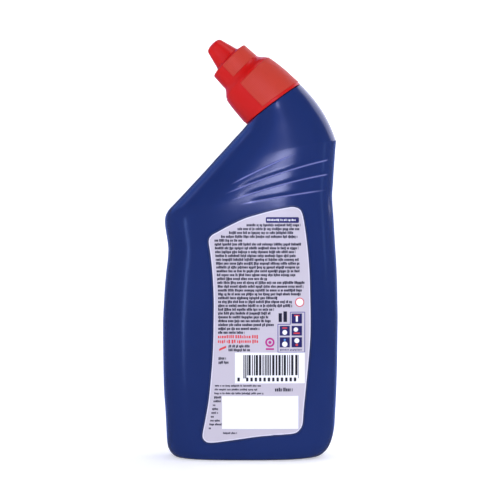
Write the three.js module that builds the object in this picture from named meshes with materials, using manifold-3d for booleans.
// Angled-neck toilet cleaner bottle, 500 ml: a blow-moulded bottle with an oblique neck seam, a squeeze-and-turn
// screw cap, a dispensing nozzle pressed into the neck, a soft seal in the cap's tip and two labels.
// Millimetres, +Z up. Origin: middle of the bottle's footprint, on the surface it stands on.
// +X is away from the side the spout leans to, -Y is the side with the back label.
import * as THREE from "three";
import { mergeVertices } from "three/addons/utils/BufferGeometryUtils.js";
import Module from "manifold-3d";

// ---------- driving dimensions ----------
const SCALE = 0.515; // mm for one unit of the outline tables below
const ORIGIN_X = 250.35; // table x of the footprint's middle
const ORIGIN_Y = 455.8; // table y of the standing surface, y runs down
const RING = 36; // points round one section
const WALL = 1.0; // blown wall
const GAP = 0.3; // seating gap between neighbours
const SEAM_GAP = 0.4; // between the cap's rim and the bottle's shoulder
const PUSH_UP = 3.0; // height of the base's hollow
const STANDING_RING = 5.5; // width of the flat ring the bottle stands on

const NECK_TILT = -45.49; // degrees about Y, from upright to the neck's axis
const NECK_X = 12.08, NECK_Z = 180.9; // where the neck's axis meets the seam's middle
const SEAM_SLOPE = 0.1525; // the seam is oblique: it drops this much for each mm towards the bottle's back
const NECK_R = 12.3, BORE_R = 11.0, NECK_TOP = 14.5;
const LUG_AT = [32, 212]; // the neck's two lugs, a quarter turn from the pads
const CAP_RIM_R = 16.9;
const PAD_RAISE = 0.3; // the squeeze pads stand this far proud
const PAD_MID = [-58, 122]; // degrees round the neck's axis, from its back side
const PAD_HALF = 51.7; // half the angle a lower pad spans
const PAD_HALF_UPPER = 57.4;
const LABEL_THICK = 0.25;

// Stations from the base to the seam: left outline point, right outline point (table units),
// half depth (mm) and the section's squareness (2 is an ellipse).
const STATIONS = [
  [179.0, 455.8, 311.0, 455.8, 20.0, 2.7],
  [174.6, 454.6, 319.5, 454.2, 22.3, 2.8],
  [170.9, 451.0, 325.3, 450.0, 23.7, 2.9],
  [168.3, 446.0, 329.3, 444.0, 24.5, 3.05],
  [167.2, 440.0, 331.9, 437.0, 24.9, 3.15],
  [166.6, 430.0, 333.8, 428.0, 25.0, 3.2],
  [165.6, 410.5, 335.2, 409.0, 25.0, 3.2],
  [164.1, 390.0, 336.2, 389.0, 25.0, 3.2],
  [163.4, 365.0, 337.0, 364.5, 25.0, 3.2],
  [163.1, 340.0, 337.4, 340.0, 25.0, 3.2],
  [163.2, 318.0, 337.6, 317.0, 25.0, 3.2],
  [164.1, 300.0, 337.3, 299.0, 25.0, 3.2],
  [165.1, 285.0, 337.0, 284.0, 25.0, 3.2],
  [166.5, 270.0, 336.5, 269.0, 25.0, 3.2],
  [168.0, 257.5, 335.7, 255.0, 25.0, 3.2],
  [168.4, 248.5, 335.0, 245.0, 25.0, 3.2],
  [167.5, 240.5, 334.5, 236.0, 24.95, 3.2],
  [166.2, 232.5, 333.9, 226.0, 24.9, 3.2],
  [165.1, 224.0, 333.2, 214.5, 24.75, 3.2],
  [165.5, 216.5, 332.4, 204.0, 24.55, 3.15],
  [168.2, 210.8, 332.1, 195.0, 24.3, 3.1],
  [173.0, 205.4, 332.9, 185.0, 23.9, 3.0],
  [180.6, 197.4, 333.6, 174.0, 23.35, 2.9],
  [189.9, 187.3, 334.4, 163.0, 22.7, 2.8],
  [199.4, 177.1, 335.2, 152.0, 21.95, 2.7],
  [208.6, 167.0, 336.1, 141.0, 21.2, 2.6], // ridge at the back of the shoulder
  [217.0, 157.6, 333.2, 133.0, 20.45, 2.48],
  [225.0, 148.9, 328.8, 122.8, 19.6, 2.35],
  [232.7, 140.3, 322.0, 110.6, 18.7, 2.2],
  [240.0, 132.4, 312.4, 97.4, 17.75, 2.08],
  [247.4, 124.3, 300.5, 84.5, 16.9, 2.0],
];

// Label outline: left and right edge (table units) for each height, bottom to top, already as it lies on the face.
const LABEL_ROWS = [
  [437.7, 205.9, 214.6],
  [435.3, 204.2, 240.5],
  [432.3, 204.0, 272.0],
  [428.9, 204.4, 292.8],
  [424.5, 205.0, 297.4],
  [417.0, 206.3, 300.0],
  [400.0, 208.8, 303.3],
  [378.0, 211.6, 306.6],
  [350.0, 213.9, 309.2],
  [322.0, 215.2, 309.9],
  [294.0, 214.9, 309.6],
  [266.0, 213.2, 307.3],
  [248.0, 211.0, 305.4],
  [240.4, 210.1, 304.6],
  [236.2, 211.8, 304.1],
  [230.0, 222.6, 303.4],
  [222.6, 240.2, 302.5],
  [216.3, 258.6, 301.4],
  [211.4, 280.0, 298.3],
  [209.3, 288.0, 295.4],
];

const tx = (x) => (x - ORIGIN_X) * SCALE;
const tz = (y) => (ORIGIN_Y - y) * SCALE;

// ---------- small geometry helpers ----------
// One closed surface through a list of rings (each the same number of points), with a point at each end.
function ringSolid(rings, start, end) {
  const n = rings[0].length;
  const pos = [];
  const tri = (a, b, c) => pos.push(a.x, a.y, a.z, b.x, b.y, b.z, c.x, c.y, c.z);
  for (let j = 0; j < n; j++) tri(start, rings[0][(j + 1) % n], rings[0][j]);
  for (let i = 0; i + 1 < rings.length; i++)
    for (let j = 0; j < n; j++) {
      const k = (j + 1) % n;
      const a = rings[i][j], b = rings[i][k], c = rings[i + 1][k], d = rings[i + 1][j];
      // split along the shorter diagonal
      if (a.distanceToSquared(c) <= b.distanceToSquared(d)) { tri(a, b, c); tri(a, c, d); }
      else { tri(a, b, d); tri(b, c, d); }
    }
  const last = rings[rings.length - 1];
  for (let j = 0; j < n; j++) tri(last[j], last[(j + 1) % n], end);
  return geometryOf(pos);
}

function geometryOf(pos) {
  const g = new THREE.BufferGeometry();
  g.setAttribute("position", new THREE.Float32BufferAttribute(pos, 3));
  g.computeVertexNormals();
  return g;
}

const wasm = await Module();
wasm.setup();

function toSolid(geometry) {
  const g = geometry.index ? geometry.toNonIndexed() : geometry.clone();
  g.deleteAttribute("normal");
  g.deleteAttribute("uv");
  const m = mergeVertices(g, 1e-4);
  return new wasm.Manifold(new wasm.Mesh({
    numProp: 3,
    vertProperties: new Float32Array(m.attributes.position.array),
    triVerts: new Uint32Array(m.index.array),
  }));
}

function fromSolid(solid) {
  const mesh = solid.getMesh();
  const g = new THREE.BufferGeometry();
  const pos = [];
  for (const v of mesh.triVerts)
    for (let k = 0; k < 3; k++) pos.push(mesh.vertProperties[v * mesh.numProp + k]);
  g.setAttribute("position", new THREE.Float32BufferAttribute(pos, 3));
  g.computeVertexNormals();
  return g;
}

// ---------- the bottle's body ----------
const LAST = STATIONS.length - 1;
const leftPts = STATIONS.map((s) => new THREE.Vector2(tx(s[0]), tz(s[1])));
const rightPts = STATIONS.map((s) => new THREE.Vector2(tx(s[2]), tz(s[3])));
const depths = STATIONS.map((s) => s[4]);
const squares = STATIONS.map((s) => s[5]);

// A rounded section from left point l to right point r (x, z), half depth b and squareness n,
// its points evenly spaced along the outline, from the right point round by +Y.
function section(l, r, b, n, count = RING) {
  const a = l.distanceTo(r) / 2;
  const dense = [];
  const M = 720;
  for (let i = 0; i <= M; i++) {
    const th = (i / M) * 2 * Math.PI;
    const c = Math.cos(th), s = Math.sin(th);
    const rad = Math.pow(Math.pow(Math.abs(c) / a, n) + Math.pow(Math.abs(s) / b, n), -1 / n);
    dense.push([rad * c, rad * s]);
  }
  const len = [0];
  for (let i = 1; i <= M; i++)
    len.push(len[i - 1] + Math.hypot(dense[i][0] - dense[i - 1][0], dense[i][1] - dense[i - 1][1]));
  const out = [];
  const mid = l.clone().add(r).multiplyScalar(0.5);
  const dir = r.clone().sub(l).normalize();
  let i = 0;
  for (let k = 0; k < count; k++) {
    const want = (k / count) * len[M];
    while (len[i + 1] < want) i++;
    const f = (want - len[i]) / (len[i + 1] - len[i]);
    const u = dense[i][0] + f * (dense[i + 1][0] - dense[i][0]);
    const v = dense[i][1] + f * (dense[i + 1][1] - dense[i][1]);
    out.push(new THREE.Vector3(mid.x + dir.x * u, v, mid.y + dir.y * u));
  }
  return out;
}

// Outline points moved inwards by d, square to the outline.
function inset(points, d, side) {
  return points.map((p, i) => {
    const a = points[Math.max(0, i - 1)], b = points[Math.min(points.length - 1, i + 1)];
    const t = b.clone().sub(a).normalize();
    return new THREE.Vector2(p.x + side * t.y * d, p.y - side * t.x * d);
  });
}

// The neck's own frame: local Z is its axis, local X points to the bottle's back.
const neckMatrix = new THREE.Matrix4().compose(
  new THREE.Vector3(NECK_X, 0, NECK_Z),
  new THREE.Quaternion().setFromAxisAngle(new THREE.Vector3(0, 1, 0), THREE.MathUtils.degToRad(NECK_TILT)),
  new THREE.Vector3(1, 1, 1),
);

// A ring round the neck's axis, as points in the bottle's frame: radius r, height h, dropping with the seam if oblique.
function neckRing(r, h, oblique, count = RING) {
  const out = [];
  for (let k = 0; k < count; k++) {
    const th = (k / count) * 2 * Math.PI;
    const x = r * Math.cos(th);
    out.push(new THREE.Vector3(x, r * Math.sin(th), h - (oblique ? SEAM_SLOPE * x : 0)).applyMatrix4(neckMatrix));
  }
  return out;
}

function baseRing(shrink, z) {
  const l = leftPts[0].clone(), r = rightPts[0].clone();
  l.x += shrink; r.x -= shrink; l.y = z; r.y = z;
  return section(l, r, depths[0] - shrink, squares[0]);
}

// The rings of the body's surface moved inwards by d, from station a to station b.
function bodyRings(d, a, b) {
  const l = inset(leftPts, d, 1), r = inset(rightPts, d, -1);
  const rings = [];
  for (let i = a; i <= b; i++) rings.push(section(l[i], r[i], depths[i] - d, squares[i]));
  return rings;
}

function bottleGeometry() {
  const c = (leftPts[0].x + rightPts[0].x) / 2;
  const outer = [
    baseRing(STANDING_RING + 6, PUSH_UP * 0.8),
    baseRing(STANDING_RING, 0),
    ...bodyRings(0, 0, LAST - 1),
    neckRing(CAP_RIM_R, -SEAM_GAP / 2, true),
    neckRing(NECK_R, -SEAM_GAP / 2, true),
    neckRing(NECK_R, NECK_TOP - 0.5, false),
    neckRing(NECK_R - 0.5, NECK_TOP, false),
  ];
  const inner = [
    neckRing(BORE_R, NECK_TOP, false),
    neckRing(BORE_R, -WALL - SEAM_GAP / 2, true),
    neckRing(CAP_RIM_R - WALL, -WALL - SEAM_GAP / 2, true),
    ...bodyRings(WALL, 1, LAST - 1).reverse().filter((_, i) => i % 2 === 0 || i > 24),
    baseRing(0.9, WALL),
    baseRing(STANDING_RING, WALL),
    baseRing(STANDING_RING + 6, PUSH_UP * 0.8 + WALL),
  ];
  return ringSolid(
    [...outer, ...inner],
    new THREE.Vector3(c, 0, PUSH_UP),
    new THREE.Vector3(c, 0, PUSH_UP + WALL),
  );
}

// ---------- lugs ----------
// A block between two radii, its outer radius falling off by ramp, that drops with the seam like everything near it.
function lug(angle, half, r0, r1, ramp, low, high) {
  const shape = new THREE.Shape();
  const steps = 4;
  const at = (r, i) => {
    const t = THREE.MathUtils.degToRad(angle + (i / steps - 0.5) * 2 * half);
    return [r * Math.cos(t), r * Math.sin(t)];
  };
  shape.moveTo(...at(r0, 0));
  for (let i = 0; i <= steps; i++) shape.lineTo(...at(r1 - ramp * (i / steps), i));
  for (let i = steps; i > 0; i--) shape.lineTo(...at(r0, i));
  const g = new THREE.ExtrudeGeometry(shape, { depth: high - low, bevelEnabled: false, curveSegments: 1 });
  g.translate(0, 0, low);
  g.applyMatrix4(new THREE.Matrix4().set(1, 0, 0, 0, 0, 1, 0, 0, -SEAM_SLOPE, 0, 1, 0, 0, 0, 0, 1));
  return g;
}

// ---------- the cap ----------
// Angles round the cap, with a pair at each edge of each pad.
const capAngles = (() => {
  const edges = PAD_MID.flatMap((m) => [PAD_HALF, PAD_HALF_UPPER].flatMap((h) => [m - h, m + h])).map((a) => ((a % 360) + 360) % 360);
  const list = [];
  for (let k = 0; k < 36; k++) {
    const a = (k / 36) * 360;
    if (edges.every((e) => Math.abs(((a - e + 540) % 360) - 180) > 3)) list.push(a);
  }
  for (const e of edges) list.push(e - 0.7, e + 0.7);
  return list.map((a) => ((a % 360) + 360) % 360).sort((p, q) => p - q);
})();
const onPad = (a, half) => PAD_MID.some((m) => Math.abs(((a - m + 540) % 360) - 180) < half);

// In the cap's own frame.
function capRing(r, h, { oblique = false, pad = 0, half = PAD_HALF } = {}) {
  return capAngles.map((a) => {
    const rr = r + (onPad(a, half) ? pad : 0);
    const t = THREE.MathUtils.degToRad(a);
    const x = rr * Math.cos(t);
    return new THREE.Vector3(x, rr * Math.sin(t), h - (oblique ? SEAM_SLOPE * x : 0));
  });
}

function capGeometry() {
  const rim = SEAM_GAP / 2;
  const down = [ // from the tip's inside, down the inside
    capRing(2.6, 42.9),
    capRing(3.3, 42.3),
    capRing(5.6, 34.6),
    capRing(5.9, 31.5),
    capRing(9.5, 31.4),
    capRing(9.9, 24.5),
    capRing(13.4, 18.8),
    capRing(13.4, 5.6), // the inner wall that carries the thread
    capRing(14.2, 5.6),
    capRing(14.2, 13.4), // slot that lets the skirt be squeezed
    capRing(14.7, 13.4),
    capRing(15.4, 6.0),
    capRing(15.7, rim, { oblique: true }),
    capRing(CAP_RIM_R, rim, { oblique: true }),
    capRing(CAP_RIM_R - 0.03, rim + 1.5, { oblique: true }),
    capRing(CAP_RIM_R - 0.04, rim + 1.8, { oblique: true, pad: PAD_RAISE }),
    capRing(16.55, 7.7, { pad: PAD_RAISE }),
    capRing(16.1, 12.6, { pad: PAD_RAISE }),
    capRing(15.6, 16.3, { pad: PAD_RAISE }),
    capRing(15.0, 19.1, { pad: PAD_RAISE }),
    capRing(14.75, 19.8),
    capRing(13.6, 21.2),
    capRing(12.2, 22.9),
    capRing(11.5, 23.8),
    capRing(11.5, 24.5, { pad: PAD_RAISE * 0.7, half: PAD_HALF_UPPER }),
    capRing(11.0, 32.1, { pad: PAD_RAISE * 0.7, half: PAD_HALF_UPPER }),
    capRing(10.8, 32.6),
    capRing(7.4, 33.4),
    capRing(6.95, 34.1),
    capRing(4.6, 42.9),
    capRing(4.1, 43.8),
    capRing(2.8, 44.3),
  ];
  return ringSolid(down, new THREE.Vector3(0, 0, 42.9), new THREE.Vector3(0, 0, 44.45));
}

// ---------- nozzle and seal ----------
const vec = (list) => list.map(([r, h]) => new THREE.Vector2(r, h));
function nozzleGeometry() {
  const top = NECK_TOP + GAP; // the flange sits on the neck
  const plug = BORE_R - GAP;
  const profile = vec([
    [9.6, 6.4], [10.3, 6.4], [plug, 7.4], [plug, top], [12.2, top], [12.2, top + 1.0], [11.8, top + 1.4],
    [9.2, top + 1.4], [8.7, 19.5], [8.3, 26.9], [7.3, 28.4], [5.2, 30.6], [4.7, 32.0], [2.9, 40.0], [2.5, 40.5],
    [1.4, 40.5], [1.4, 38.4], [1.8, 37.0], [3.5, 31.8], [4.1, 29.8], [6.2, 27.4], [7.1, 26.0], [7.5, 19.5],
    [9.2, 15.0], [9.6, 13.5], [9.6, 6.4],
  ]);
  return new THREE.LatheGeometry(profile, 28).rotateX(Math.PI / 2);
}
function sealGeometry() {
  const profile = vec([[0, 39.6], [0.7, 39.6], [1.05, 40.2], [1.05, 40.95], [2.85, 40.95], [2.85, 42.0], [2.5, 42.3], [0, 42.3]]);
  return new THREE.LatheGeometry(profile, 20).rotateX(Math.PI / 2);
}

// ---------- labels ----------
// Half depth of the body's surface over the point (x, z): finds the section line through it.
function faceDepth(x, z) {
  const at = (t) => {
    const i = Math.min(LAST - 1, Math.floor(t)), f = t - i;
    const mix = (a, b) => a + (b - a) * f;
    return {
      l: leftPts[i].clone().lerp(leftPts[i + 1], f), r: rightPts[i].clone().lerp(rightPts[i + 1], f),
      b: mix(depths[i], depths[i + 1]), n: mix(squares[i], squares[i + 1]),
    };
  };
  const above = (t) => { const s = at(t); return (s.r.x - s.l.x) * (z - s.l.y) - (s.r.y - s.l.y) * (x - s.l.x); };
  let lo = 0, hi = LAST;
  for (let k = 0; k < 40; k++) { const m = (lo + hi) / 2; if (above(m) > 0) lo = m; else hi = m; }
  const s = at(lo), a = s.l.distanceTo(s.r) / 2;
  const mid = s.l.clone().add(s.r).multiplyScalar(0.5);
  const c = Math.min(0.999, Math.hypot(x - mid.x, z - mid.y) / a);
  return s.b * Math.pow(1 - Math.pow(c, s.n), 1 / s.n);
}

// side -1 is the back label, 1 the front label.
function labelGeometry(side) {
  const cols = 9;
  const grid = (off) => LABEL_ROWS.map(([y, xl, xr]) => {
    const row = [];
    for (let k = 0; k < cols; k++) {
      const x = tx(xl + ((xr - xl) * k) / (cols - 1)), z = tz(y);
      row.push(new THREE.Vector3(x, side * (faceDepth(x, z) + off), z));
    }
    return row;
  });
  const out = grid(GAP + LABEL_THICK), inn = grid(GAP);
  const pos = [];
  const tri = (a, b, c) => (side < 0 ? pos.push(...a, ...b, ...c) : pos.push(...a, ...c, ...b));
  const R = out.length;
  for (let i = 0; i + 1 < R; i++)
    for (let k = 0; k + 1 < cols; k++) {
      const q = (g) => [g[i][k], g[i][k + 1], g[i + 1][k + 1], g[i + 1][k]].map((v) => v.toArray());
      let [a, b, c, d] = q(out);
      tri(a, b, c); tri(a, c, d);
      [a, b, c, d] = q(inn);
      tri(a, c, b); tri(a, d, c);
    }
  const wall = (o0, o1, i0, i1) => { const [a, b, c, d] = [o0, o1, i1, i0].map((v) => v.toArray()); tri(a, d, c); tri(a, c, b); };
  for (let k = 0; k + 1 < cols; k++) {
    wall(out[0][k], out[0][k + 1], inn[0][k], inn[0][k + 1]);
    wall(out[R - 1][k + 1], out[R - 1][k], inn[R - 1][k + 1], inn[R - 1][k]);
  }
  for (let i = 0; i + 1 < R; i++) {
    wall(out[i + 1][0], out[i][0], inn[i + 1][0], inn[i][0]);
    wall(out[i][cols - 1], out[i + 1][cols - 1], inn[i][cols - 1], inn[i + 1][cols - 1]);
  }
  return geometryOf(pos);
}

// ---------- the scene graph ----------
const mats = {
  bottle: new THREE.MeshStandardMaterial({ color: 0x1f3a8c, roughness: 0.3, metalness: 0 }),
  cap: new THREE.MeshStandardMaterial({ color: 0xd92126, roughness: 0.35, metalness: 0 }),
  nozzle: new THREE.MeshStandardMaterial({ color: 0xe9e9e4, roughness: 0.4, metalness: 0 }),
  seal: new THREE.MeshStandardMaterial({ color: 0xf2f0ea, roughness: 0.6, metalness: 0 }),
  back_label: new THREE.MeshStandardMaterial({ color: 0xd6d0e4, roughness: 0.45, metalness: 0 }),
  front_label: new THREE.MeshStandardMaterial({ color: 0xd6d0e4, roughness: 0.45, metalness: 0 }),
};
const mesh = (name, geometry, material) => {
  const m = new THREE.Mesh(geometry, material);
  m.name = name;
  return m;
};

const bottle_assembly = new THREE.Group();

let bottle = toSolid(bottleGeometry());
for (const a of LUG_AT)
  bottle = bottle.add(toSolid(lug(a, 9, NECK_R - 0.7, 14.6, 1.2, -0.7, 3.4).applyMatrix4(neckMatrix)));
bottle_assembly.add(mesh("bottle", fromSolid(bottle), mats.bottle));
bottle_assembly.add(mesh("back_label", labelGeometry(-1), mats.back_label));
bottle_assembly.add(mesh("front_label", labelGeometry(1), mats.front_label));

const neck = new THREE.Group();
neck.position.set(NECK_X, 0, NECK_Z);
neck.rotation.y = THREE.MathUtils.degToRad(NECK_TILT);
let cap = toSolid(capGeometry());
for (const a of LUG_AT) cap = cap.add(toSolid(lug(a - 16, 5, 14.95, 16.1, 0, 1.2, 4.0)));
neck.add(mesh("screw_cap", fromSolid(cap), mats.cap));
neck.add(mesh("nozzle_insert", nozzleGeometry(), mats.nozzle));
neck.add(mesh("tip_seal", sealGeometry(), mats.seal));
bottle_assembly.add(neck);

export default bottle_assembly;
